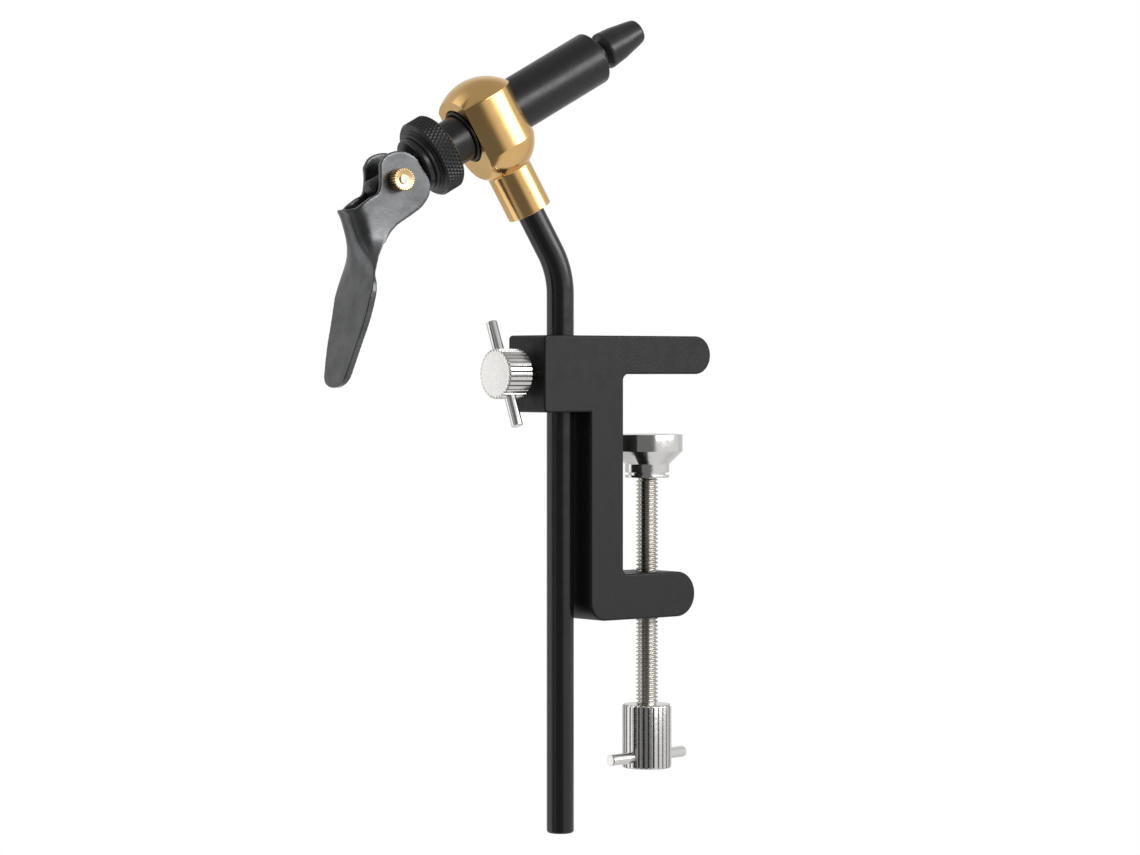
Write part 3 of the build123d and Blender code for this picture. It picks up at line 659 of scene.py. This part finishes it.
stem_turn = np.concatenate([np.zeros(7), bend_turn, [lean, lean]])
stem_direction = np.array((0, 0, 1)) * np.cos(stem_turn)[:, None] - across * np.sin(stem_turn)[:, None]
stem_radii = np.concatenate([[0.0], stem_radius - foot_radius * (1 - np.sin(foot_turn)),
                             np.full(41, stem_radius), [0.0]])
stem_gloss = new_material("stem_gloss_black", 0.2, 0.0, (0.008, 0.008, 0.009))
drive_roughness(stem_gloss, spread(stem_gloss, noise(stem_gloss, 260.0), 0.15, 0.27))
emboss(stem_gloss, noise(stem_gloss, 500.0, detail=2.0), 0.000012)
stem_piece = add_piece("stem_rod", *carried(stem_radii, centre_line, stem_direction, swing_axis),
                       upright(0, 0, 0), stem_gloss)
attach(stem_piece, "stem")
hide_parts("stem")


# ---------------------------------------------------------------- head
# Turned from brass bar about the neck, milled flat behind, bored across for the
# barrel, then polished and lacquered to a warm gold.
def smooth_least(a, b, blend_width):
    """The lesser of two values, with the corner between them rounded over the given width."""
    near = np.clip(blend_width - np.abs(a - b), 0.0, None) / blend_width
    return np.minimum(a, b) - near * near * blend_width / 4


def settled(piece, tool):
    """The piece with its modifiers made part of its mesh, and the tool that cut it removed."""
    bpy.context.view_layer.update()
    mesh = bpy.data.meshes.new_from_object(piece.evaluated_get(bpy.context.evaluated_depsgraph_get()))
    piece.modifiers.clear()
    piece.data = mesh
    bpy.data.objects.remove(tool)
    mesh.shade_smooth()
    return mesh


neck_radius, neck_length = 7.94, 34.5
band_radius = 13.8
dome_radius, dome_centre = 17.4, -1.3
under_radius, under_centre = 14.2, -6.5
flat_offset = 9.6
flat_fade = 0.10
bore_radius = 9.605
bore_edge = 0.35
tool_reach = 30.0
stem_socket = stem_radius + 0.02
neck_joint = under_centre - math.sqrt(under_radius**2 - neck_radius**2)
dome_turn = np.linspace(math.acos(band_radius / dome_radius), math.pi / 2, 60)
under_turn = np.linspace(-math.acos(neck_radius / under_radius), -math.acos(band_radius / under_radius), 30)
dome = np.stack([dome_radius * np.cos(dome_turn), dome_centre + dome_radius * np.sin(dome_turn)], -1)
under = np.stack([under_radius * np.cos(under_turn), under_centre + under_radius * np.sin(under_turn)], -1)
edge_width = 0.22


def eased(first, second):
    """Trim two runs of an outline back from their shared corner and round it by a quadratic curve."""
    corner, before, after = second[0], first[-1] - first[-2], second[1] - second[0]
    start = corner - before / np.linalg.norm(before) * edge_width
    end = corner + after / np.linalg.norm(after) * edge_width
    share = np.linspace(0, 1, 6)[:, None]
    curve = (1 - share) ** 2 * start + 2 * share * (1 - share) * corner + share**2 * end
    keep_first = first[np.linalg.norm(first - corner, axis=1) > edge_width * 1.3]
    keep_second = second[np.linalg.norm(second - corner, axis=1) > edge_width * 1.3]
    return np.vstack([keep_first, curve, keep_second])


def head_normals(mesh):
    """The true normal at every face corner, in the vise's axes. On the turned outside it is that
    of the outline at the corner's height, on the flat it is the barrel's axis reversed, and the
    bore, its chamfer and the neck's end keep the normals of their own faces."""
    corner_count = len(mesh.loops)
    corner_vertex = np.zeros(corner_count, int)
    mesh.loops.foreach_get("vertex_index", corner_vertex)
    positions = np.zeros(len(mesh.vertices) * 3)
    mesh.vertices.foreach_get("co", positions)
    face_normals = np.zeros(len(mesh.polygons) * 3)
    mesh.polygons.foreach_get("normal", face_normals)
    sizes_of_faces = np.zeros(len(mesh.polygons), int)
    mesh.polygons.foreach_get("loop_total", sizes_of_faces)
    face = np.repeat(face_normals.reshape(-1, 3), sizes_of_faces, axis=0) @ head_frame[:3, :3]
    spot = (positions.reshape(-1, 3)[corner_vertex] * mm - head_frame[:3, 3]) @ head_frame[:3, :3]
    slope = np.gradient(head_outline, axis=0)
    outward = np.stack([slope[:, 1], -slope[:, 0]], -1)
    outward = outward / np.linalg.norm(outward, axis=1)[:, None]
    around = np.hypot(spot[:, 0], spot[:, 1]).clip(0.001)
    sideways = np.interp(spot[:, 2], head_outline[:, 1], outward[:, 0])
    rising = np.interp(spot[:, 2], head_outline[:, 1], outward[:, 1])
    skin = np.stack([spot[:, 0] / around * sideways, spot[:, 1] / around * sideways, rising], -1)
    flat = np.array([-1.0, 0.0, 0.0])
    onto_flat = np.clip((-spot[:, 0] - (flat_offset - flat_fade)) / flat_fade, 0.0, 1.0)[:, None]
    skin = np.where(around[:, None] > flat_offset, skin * (1 - onto_flat) + flat * onto_flat, skin)
    from_axis = spot * np.array([0.0, 1.0, 1.0])
    from_axis = from_axis / np.linalg.norm(from_axis, axis=1)[:, None].clip(0.001)
    in_bore = np.hypot(spot[:, 1], spot[:, 2]) < bore_radius + bore_edge + 0.02
    bored = (np.sum(face * from_axis, axis=1) < -0.4) & in_bore
    straight = np.abs(face[:, 0]) < 0.2
    wall_normal = np.where(straight[:, None], -from_axis, face)
    foot_face = spot[:, 2] < 0.02 - neck_length
    flat_face = face[:, 0] < -0.97
    chosen = np.where(flat_face[:, None], flat, skin)
    chosen = np.where(foot_face[:, None], face, chosen)
    chosen = np.where(bored[:, None], wall_normal, chosen)
    chosen = chosen / np.linalg.norm(chosen, axis=1)[:, None].clip(0.001)
    return chosen @ head_frame[:3, :3].T


neck_run = np.stack([np.full(40, neck_radius), np.linspace(-neck_length, neck_joint, 40)], -1)
band_run = np.stack([np.full(40, band_radius), np.linspace(under[-1, 1], dome[0, 1], 40)], -1)
foot_run = np.stack([np.linspace(stem_socket, neck_radius, 4), np.full(4, -neck_length)], -1)
head_outline = foot_run
for run in (neck_run, under, band_run, dome):
    head_outline = eased(head_outline, run)
head_columns = 480
head_angle = np.arange(head_columns) * 2 * np.pi / head_columns
flat_reach = np.where(np.cos(head_angle) < -0.2, flat_offset / np.maximum(-np.cos(head_angle), 0.2), 99.0)
head_reach = smooth_least(head_outline[:, :1], flat_reach[None, :], 0.28)
head_points = np.stack([head_reach * np.cos(head_angle), head_reach * np.sin(head_angle),
                        np.repeat(head_outline[:, 1:], head_columns, axis=1)], -1)
socket_rows = np.stack([np.stack([r * np.cos(head_angle), r * np.sin(head_angle), np.full(head_columns, h)],
                                 -1)
                        for r, h in ((0.0, -stem_top_below), (stem_socket, -stem_top_below))])
head_points = np.vstack([socket_rows, head_points])
head_frame = along(barrel_centre, neck_axis, barrel_axis)
gold = new_material("head_polished_gold", 0.17, 1.0)
tint(gold, noise(gold, 60.0), (0.80, 0.50, 0.19), (0.86, 0.56, 0.24))
drive_roughness(gold, spread(gold, noise(gold, 200.0), 0.14, 0.21))
emboss(gold, noise(gold, 900.0, detail=3.0), 0.000003)
head_faces = grid_faces(len(head_points), head_columns)
head_piece = add_piece("head_turned", head_points, head_faces, head_frame, gold)
bore_tool = add_piece("bore_tool", *turned([
    (0.0, -tool_reach, 0), (bore_radius + 20.0 + bore_edge, -flat_offset - 20.0, 0),
    (bore_radius, -flat_offset + bore_edge, 0), (bore_radius, tool_reach, 0), (0.0, tool_reach, 0)],
    columns=256), along(barrel_centre, barrel_axis, swing_axis), gold)
bore_cut = head_piece.modifiers.new("bore", "BOOLEAN")
bore_cut.object = bore_tool
bore_cut.solver = "EXACT"
cut_mesh = settled(head_piece, bore_tool)
cut_mesh.normals_split_custom_set(head_normals(cut_mesh).tolist())
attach(head_piece, "stem")
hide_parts("head")
dark_steel = new_material("set_screw_steel", 0.35, 1.0, (0.20, 0.20, 0.21))
drive_roughness(dark_steel, spread(dark_steel, noise(dark_steel, 900.0), 0.28, 0.42))
natural_nylon = new_material("natural_nylon", 0.5, 0.0, (0.80, 0.79, 0.74))
drive_roughness(natural_nylon, spread(natural_nylon, noise(natural_nylon, 500.0), 0.42, 0.56))
for small_node, small_finish in (("neck_set_screw", dark_steel), ("tension_screw", dark_steel),
                                 ("tension_plug", natural_nylon)):
    refinish(small_node, small_finish)

# ---------------------------------------------------------------- barrel
# Turned aluminium, very lightly blasted and anodised black, with a rounded front
# edge. A hard blackened bush is pressed into its mouth.
barrel_radius, barrel_bore, barrel_front, barrel_rear = 9.525, 6.5, 48.7, -8.6
drag_groove, drag_half = 9.02, 2.6
spring_seat, sleeve_front, tail_bore = 8.0, 0.4, 4.05
bush_bore, bush_rear, bush_front = 5.05, 41.7, 48.5
barrel_frame = along(barrel_centre, barrel_axis, swing_axis)
anodised = new_material("barrel_black_anodised", 0.32, 0.0)
tint(anodised, noise(anodised, 900.0), (0.005, 0.005, 0.0055), (0.009, 0.009, 0.010))
drive_roughness(anodised, spread(anodised, noise(anodised, 350.0), 0.26, 0.36))
emboss(anodised, noise(anodised, 1600.0, detail=3.0), 0.000012)
barrel_piece = add_piece("barrel_tube", *turned([
    (barrel_bore, barrel_rear, 0), (barrel_radius, barrel_rear, 0.2), (barrel_radius, -drag_half, 0),
    (drag_groove, -drag_half, 0), (drag_groove, drag_half, 0), (barrel_radius, drag_half, 0),
    (barrel_radius, barrel_front, 0.8), (barrel_bore, barrel_front, 0.15), (barrel_bore, spring_seat, 0),
    (tail_bore, spring_seat, 0), (tail_bore, sleeve_front, 0), (barrel_bore, sleeve_front, 0)],
    columns=192, closed=True), barrel_frame, anodised)
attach(barrel_piece, "barrel")
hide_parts("barrel")
black_oxide = new_material("jaw_black_oxide", 0.3, 0.0)
tint(black_oxide, noise(black_oxide, 500.0), (0.010, 0.010, 0.011), (0.018, 0.0175, 0.017))
drive_roughness(black_oxide, spread(black_oxide, noise(black_oxide, 300.0), 0.24, 0.36))
emboss(black_oxide, noise(black_oxide, 1800.0, detail=3.0), 0.00001)
bush_piece = add_piece("nose_bush_turned", *turned([
    (bush_bore, bush_rear, 0), (barrel_bore, bush_rear, 0), (barrel_bore, bush_front, 0.1),
    (5.6, bush_front, 0.1), (bush_bore, 47.8, 0.1)],
    columns=128, closed=True), barrel_frame, black_oxide)
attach(bush_piece, "barrel")
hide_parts("nose_bush")

# ---------------------------------------------------------------- sleeve and ring
# The sleeve screws into the barrel's rear and carries the collar. A round rubber
# ring sits on it against the barrel and drags lightly in the head's bore.
sleeve_radius, sleeve_rear, rod_bore = 8.2, -25.0, 4.02
sleeve_piece = add_piece("rear_sleeve_turned", *turned([
    (rod_bore, sleeve_rear, 0), (sleeve_radius, sleeve_rear, 0.4), (sleeve_radius, barrel_rear, 0),
    (barrel_bore, barrel_rear, 0), (barrel_bore, sleeve_front, 0), (rod_bore, sleeve_front, 0)],
    columns=160, closed=True), barrel_frame, anodised)
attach(sleeve_piece, "barrel")
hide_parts("rear_sleeve")
rubber = new_material("black_rubber", 0.42, 0.0)
tint(rubber, noise(rubber, 700.0), (0.006, 0.006, 0.006), (0.011, 0.011, 0.011))
drive_roughness(rubber, spread(rubber, noise(rubber, 900.0), 0.34, 0.5))
refinish("friction_ring", rubber)

# ---------------------------------------------------------------- jaws and drawbar
# One piece of tool steel, split from the tip by a thin saw cut and blackened. The
# taper swells slightly, the tip is blunt, and the rear cone closes against the bush.
slit_half, slit_rear = 0.2, 36.0
jaw_neck, jaw_tip = 5.0, 69.5
rod_radius, rod_tail, rod_front = 3.97, -50.3, 34.0
jaw_outline = rounded([
    (slit_half, slit_rear, 0), (jaw_neck, slit_rear, 0), (jaw_neck, 51.4, 0.4), (6.5, 53.1, 0.3),
    (6.7, 53.9, 0.5), (6.15, 59.5, 14.0), (4.95, 66.0, 8.0), (4.2, jaw_tip, 1.5), (slit_half, jaw_tip, 0)],
    steps=7)


def half_jaw(side):
    """One side of the split taper: each row is the part of a circle beyond the slit, an arc
    closed by a straight chord along the slit's wall."""
    reach = np.maximum(jaw_outline[:, :1], slit_half)
    opening = np.arcsin(np.clip(slit_half / reach, 0, 1))
    share = np.linspace(0, 1, 72)[None, :]
    angle = opening + share * (np.pi - 2 * opening)
    arc = np.stack([reach * np.cos(angle), side * reach * np.sin(angle)], -1)
    chord_share = np.linspace(0, 1, 8)[1:-1][None, :]
    chord_end = reach * np.cos(opening)
    chord = np.stack([-chord_end * (1 - 2 * chord_share), np.full((len(reach), 6), side * slit_half)], -1)
    section = np.concatenate([arc, chord], axis=1)
    height = np.repeat(jaw_outline[:, 1:], section.shape[1], axis=1)[..., None]
    across_slit = np.concatenate([section[..., 1:], section[..., :1], height], -1)
    return across_slit, grid_faces(len(reach), section.shape[1])


near_points, half_faces = half_jaw(-1.0)
far_points, _ = half_jaw(1.0)
root_points, root_faces = turned([
    (rod_radius, 28.0, 0), (6.45, 28.0, 0.2), (6.45, 30.5, 0.2), (jaw_neck, 30.5, 0),
    (jaw_neck, slit_rear, 0), (rod_radius, slit_rear, 0)], columns=96, closed=True)
jaw_points = np.vstack([near_points.reshape(-1, 3), far_points.reshape(-1, 3), root_points.reshape(-1, 3)])
near_count = near_points.shape[0] * near_points.shape[1]
jaw_faces = np.vstack([half_faces, half_faces + near_count, root_faces + 2 * near_count])
jaw_piece = add_piece("collet_jaws", jaw_points, jaw_faces, barrel_frame, black_oxide, crease=34.0)
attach(jaw_piece, "drawbar")
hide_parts("jaw_collet")
drawbar_piece = add_piece("drawbar_rod", *turned([
    (0.0, rod_tail, 0), (3.1, rod_tail, 0.15), (rod_radius, -49.4, 0.3), (rod_radius, rod_front, 0),
    (0.0, rod_front, 0)], columns=96), barrel_frame, black_oxide)
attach(drawbar_piece, "drawbar")
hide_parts("drawbar")
refinish("return_spring", screw_steel)

# ---------------------------------------------------------------- adjusting collar
# Turned aluminium with a rolled diamond knurl between two chamfered rims, anodised
# black, and stepped down behind to a round-edged boss.
knurl_lines = 58
knurl_depth = 0.42
collar_radius = 13.75
knurl_columns = knurl_lines * 8
knurl_pitch = 2 * math.pi * collar_radius / knurl_lines
knurl_heights = np.linspace(-26.5, -20.3, 38)
knurl_slant = math.tan(math.radians(32.0))
collar_bore, collar_rear, washer_rear = 8.25, -29.0, -31.3


def knurl(height, angle):
    """Depth of a diamond knurl: the deeper of two sets of slanting V grooves, one leaning each
    way at a steady slope to the axis."""
    round_share = angle / (2 * np.pi) * knurl_lines
    along_share = height / knurl_pitch * knurl_slant
    first = np.abs(((round_share + along_share) % 1.0) - 0.5) * 2
    second = np.abs(((round_share - along_share) % 1.0) - 0.5) * 2
    peak = np.minimum(1 - first, 1 - second) * 1.25
    return knurl_depth * (1 - np.clip(peak, 0, 1))


knurl_angle = np.arange(knurl_columns) * 2 * np.pi / knurl_columns
knurled_radius = collar_radius - knurl(knurl_heights[:, None], knurl_angle[None, :])
front_rim = rounded([(collar_bore, -25.0, 0), (collar_bore, -19.6, 0.2), (13.0, -19.6, 0.25),
                     (13.4, -20.25, 0.0)])
rear_rim = rounded([(13.4, -26.55, 0), (13.0, -27.2, 0.25), (11.4, -27.2, 0.1), (11.4, -27.7, 0.15),
                    (10.5, -27.7, 0.1), (10.5, collar_rear, 0.45), (rod_bore, collar_rear, 0),
                    (rod_bore, -27.5, 0), (collar_bore, -27.5, 0), (collar_bore, -26.0, 0)])
front_rows, rear_rows = (np.repeat(rim[..., None], knurl_columns, axis=2) for rim in (front_rim, rear_rim))
knurl_rows = np.repeat(knurl_heights[::-1, None], knurl_columns, axis=1)
collar_reach = np.vstack([front_rows[:, 0], knurled_radius[::-1], rear_rows[:, 0]])
collar_height = np.vstack([front_rows[:, 1], knurl_rows, rear_rows[:, 1]])
collar_points = np.stack([collar_reach * np.cos(knurl_angle), collar_reach * np.sin(knurl_angle),
                          collar_height], -1)
collar_faces = grid_faces(len(collar_points), knurl_columns, close_rows=True)
collar_finish = new_material("collar_black_anodised", 0.36, 0.0)
tint(collar_finish, noise(collar_finish, 900.0), (0.010, 0.010, 0.011), (0.016, 0.016, 0.017))
drive_roughness(collar_finish, spread(collar_finish, noise(collar_finish, 500.0), 0.28, 0.42))
collar_piece = add_piece("collar_knurled", collar_points, collar_faces, barrel_frame, collar_finish,
                         crease=24.0)
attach(collar_piece, "collar")
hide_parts("adjusting_collar")
washer_piece = add_piece("thrust_washer_turned", *turned([
    (rod_bore, washer_rear, 0.1), (9.6, washer_rear, 0.7), (9.6, collar_rear, 0.2),
    (rod_bore, collar_rear, 0)],
    columns=128, closed=True), barrel_frame, black_oxide)
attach(washer_piece, "collar_washer")
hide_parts("thrust_washer")

# ---------------------------------------------------------------- cam lever
# Pressed from thick steel sheet: two cam ears are joined behind by a rounded web, which
# sweeps down and opens out into a broad flat blade. It is phosphated to a grey black.
def flowing(points, per=10):
    """A smooth curve through the given points: a cubic between each pair whose slope at a
    point is half the step between its two neighbours."""
    known = np.array(points, float)
    padded = np.vstack([2 * known[0] - known[1], known, 2 * known[-1] - known[-2]])
    share = np.linspace(0, 1, per, endpoint=False)[:, None]
    runs = [p1 + share * 0.5 * (p2 - p0) + share**2 * (p0 - 2.5 * p1 + 2 * p2 - 0.5 * p3)
            + share**3 * (1.5 * p1 - 0.5 * p0 - 1.5 * p2 + 0.5 * p3)
            for p0, p1, p2, p3 in zip(padded, padded[1:], padded[2:], padded[3:])]
    return np.vstack(runs + [known[-1:]])


def at(height, points):
    """A value read off a list of (height, value) by height, on a smooth curve."""
    curve = flowing(points)
    order = np.argsort(curve[:, 0])
    return np.interp(height, curve[order, 0], curve[order, 1])


tip_length, tip_start, tip_half = 5.1, -65.0, 9.2
blade_start, ear_foot = -37.7, -20.8
web_rows = np.concatenate([np.linspace(12.0, ear_foot, 42), np.linspace(-21.3, -64.6, 78),
                           tip_start - tip_length * np.sin(np.linspace(0.05, 1.5, 18))])
web_rear = at(web_rows, [(12.0, -18.8), (-2.0, -18.8), (-10.0, -18.8), (-12.8, -17.6), (-17.3, -16.1),
                         (ear_foot, -15.1), (-25.9, -14.0), (-32.2, -13.4), (blade_start, -13.8),
                         (-46.9, -15.6), (-56.1, -18.1), (-64.3, -20.1), (-72.6, -22.2)])
web_half = at(web_rows, [(12.0, 7.3), (-2.0, 7.3), (-10.0, 7.3), (-17.0, 7.5), (-21.0, 8.1), (-25.0, 9.9),
                         (-29.0, 12.4), (-33.0, 14.2), (-38.0, 14.8), (-47.0, 13.8), (-56.0, 11.9),
                         (-64.0, 9.6), (tip_start, tip_half)])
tip_turn = np.clip((tip_start - web_rows) / tip_length, 0.0, 0.999)
web_half = np.where(web_rows < tip_start, tip_half * np.sqrt(1 - tip_turn**2), web_half)
web_depth = at(web_rows, [(12.0, 7.3), (-2.0, 7.3), (-10.0, 7.3), (-17.0, 6.9), (-21.0, 6.2), (-25.0, 4.8),
                          (-29.0, 3.2), (-33.0, 1.6), (-38.0, 0.4), (-44.0, 0.0), (-80.0, 0.0)]).clip(0.0)
sheet = at(web_rows, [(12.0, 1.9), (-10.0, 1.9), (-20.0, 1.9), (-34.0, 2.5), (-50.0, 2.5), (-80.0, 2.5)])
flange_front = at(web_rows, [(ear_foot, -5.2), (-23.8, -7.1), (-26.8, -9.0), (-31.5, -11.2),
                             (blade_start, -13.1), (-40.0, -13.8)])
flange_front = np.where(web_rows < blade_start, web_rear + sheet, flange_front)
flange_front = np.where(web_rows > -21.0, 14.0, flange_front)
flanged = np.clip((web_rows - blade_start) / 12.0, 0.0, 1.0)


def channel(rear, half, depth, front, count=40):
    """Half a channel's wall for every row: forward along one side, round an elliptical back and
    forward along the other side."""
    turn = np.linspace(-np.pi / 2, np.pi / 2, count)[None, :]
    rear, half, depth, front = (value[:, None] for value in (rear, half, depth, front))
    back = np.stack([rear + depth * (1 - np.cos(turn)), half * np.sin(turn)], -1)
    share = np.linspace(0, 1, 14)[1:][None, :]
    forward = (rear + depth) + share * (front - rear - depth)
    near = np.stack([forward[:, ::-1], -half + 0 * share], -1)
    far = np.stack([forward, half + 0 * share], -1)
    return np.concatenate([near, back, far], axis=1)


outside = channel(web_rear, web_half, web_depth, flange_front)
inside_depth = np.maximum(web_depth - sheet, 0.0)
inside = channel(web_rear + sheet, web_half - sheet * flanged, inside_depth, flange_front + 0.001)
loop = np.concatenate([outside, inside[:, ::-1]], axis=1)
lever_points = np.concatenate([loop, np.repeat(web_rows[:, None, None], loop.shape[1], axis=1)], -1)
lever_faces = grid_faces(*lever_points.shape[:2])
wall = outside.shape[1]
strip = np.arange(wall - 1)
top_cap = np.stack([strip, strip + 1, 2 * wall - 2 - strip, 2 * wall - 1 - strip], -1)
lever_faces = np.vstack([lever_faces, top_cap, top_cap + (len(web_rows) - 1) * 2 * wall])
pivot = np.array(joints["lever_swing"]["pos_m"]) * mm
lever_frame = along(pivot, (0, 0, 1), across)
gunmetal = new_material("lever_phosphated_steel", 0.3, 0.9)
mottle = noise(gunmetal, 130.0, detail=5.0, roughness=0.62)
tint(gunmetal, mottle, (0.095, 0.097, 0.10), (0.15, 0.152, 0.156), 0.34, 0.66)
drive_roughness(gunmetal, spread(gunmetal, noise(gunmetal, 210.0, detail=5.0, roughness=0.65), 0.22, 0.36))
emboss(gunmetal, noise(gunmetal, 260.0, detail=4.0, roughness=0.6), 0.00004)
lever_piece = add_piece("cam_lever_pressed", lever_points, lever_faces, lever_frame, gunmetal)
ear_front = flowing([(-6.8, 5.0), (-5.0, 7.9), (-1.9, 9.5), (1.4, 9.95), (4.4, 9.2), (7.1, 7.6),
                     (9.15, 5.0),
                     (11.15, 2.1), (12.1, -1.2), (11.75, -4.5), (10.5, -6.8), (8.5, -9.2), (4.4, -12.1),
                     (-0.3, -15.2), (-2.9, -17.9), (-4.8, ear_foot)])
ear_rear = flowing([(-18.8, -10.2), (-15.3, -9.8), (-12.8, -8.0), (-10.0, -6.0), (-7.3, -4.2), (-6.65, 0.0),
                    (-6.8, 5.0)])
past_blade = [(-4.6, -24.0), (-6.0, -30.0), (-10.0, -42.0), (-10.0, -90.0), (-60.0, -90.0), (-60.0, -10.4)]
silhouette = np.vstack([ear_front, past_blade, ear_rear[:-1]])
near_side = np.insert(silhouette, 1, -30.0, axis=1)
far_side = np.insert(silhouette, 1, 30.0, axis=1)
side_cutter = bpy.data.meshes.new("lever_side")
corner_count = len(silhouette)
around = np.arange(corner_count)
following = (around + 1) % corner_count
walls = np.stack([around, following, following + corner_count, around + corner_count], -1)
ends = [around[::-1].tolist(), (around + corner_count).tolist()]
side_cutter.from_pydata(placed(np.vstack([near_side, far_side]), lever_frame).tolist(), [],
                        walls.tolist() + ends)
side_tidy = bmesh.new()
side_tidy.from_mesh(side_cutter)
bmesh.ops.recalc_face_normals(side_tidy, faces=side_tidy.faces)
side_tidy.to_mesh(side_cutter)
side_tidy.free()
side_tool = bpy.data.objects.new("lever_side", side_cutter)
bpy.context.scene.collection.objects.link(side_tool)
trim = lever_piece.modifiers.new("trim", "BOOLEAN")
trim.operation = "INTERSECT"
trim.object = side_tool
trim.solver = "EXACT"
even = lever_piece.modifiers.new("even", "REMESH")
even.mode = "VOXEL"
even.voxel_size = 0.00032
soften = lever_piece.modifiers.new("soften", "SMOOTH")
soften.factor = 0.5
soften.iterations = 9
settled(lever_piece, side_tool)
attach(lever_piece, "lever")
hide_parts("cam_lever")

# ---------------------------------------------------------------- lever pin and nuts
# A plain pin is the lever's pivot. A small ridged brass nut and a thin brass washer
# close each end of it.
refinish("lever_pin", screw_steel)
turned_brass = new_material("nut_turned_brass", 0.22, 1.0)
tint(turned_brass, noise(turned_brass, 500.0), (0.72, 0.50, 0.25), (0.84, 0.62, 0.34))
drive_roughness(turned_brass, spread(turned_brass, noise(turned_brass, 900.0), 0.22, 0.36))
refinish("pin_washers", turned_brass)
nut_start, nut_length, nut_radius = 7.8, 4.5, 3.85
for side_name, direction in (("far", 1.0), ("near", -1.0)):
    nut_frame = along(pivot + swing_axis * direction * nut_start, swing_axis * direction, (0, 0, 1))
    nut = add_piece("pin_nut_" + side_name, *ridged(nut_radius, nut_length, 26, 0.5, 0.3, face_dish=0.55),
                    nut_frame, turned_brass, crease=40.0)
    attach(nut, "lever")
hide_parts("pin_nuts")
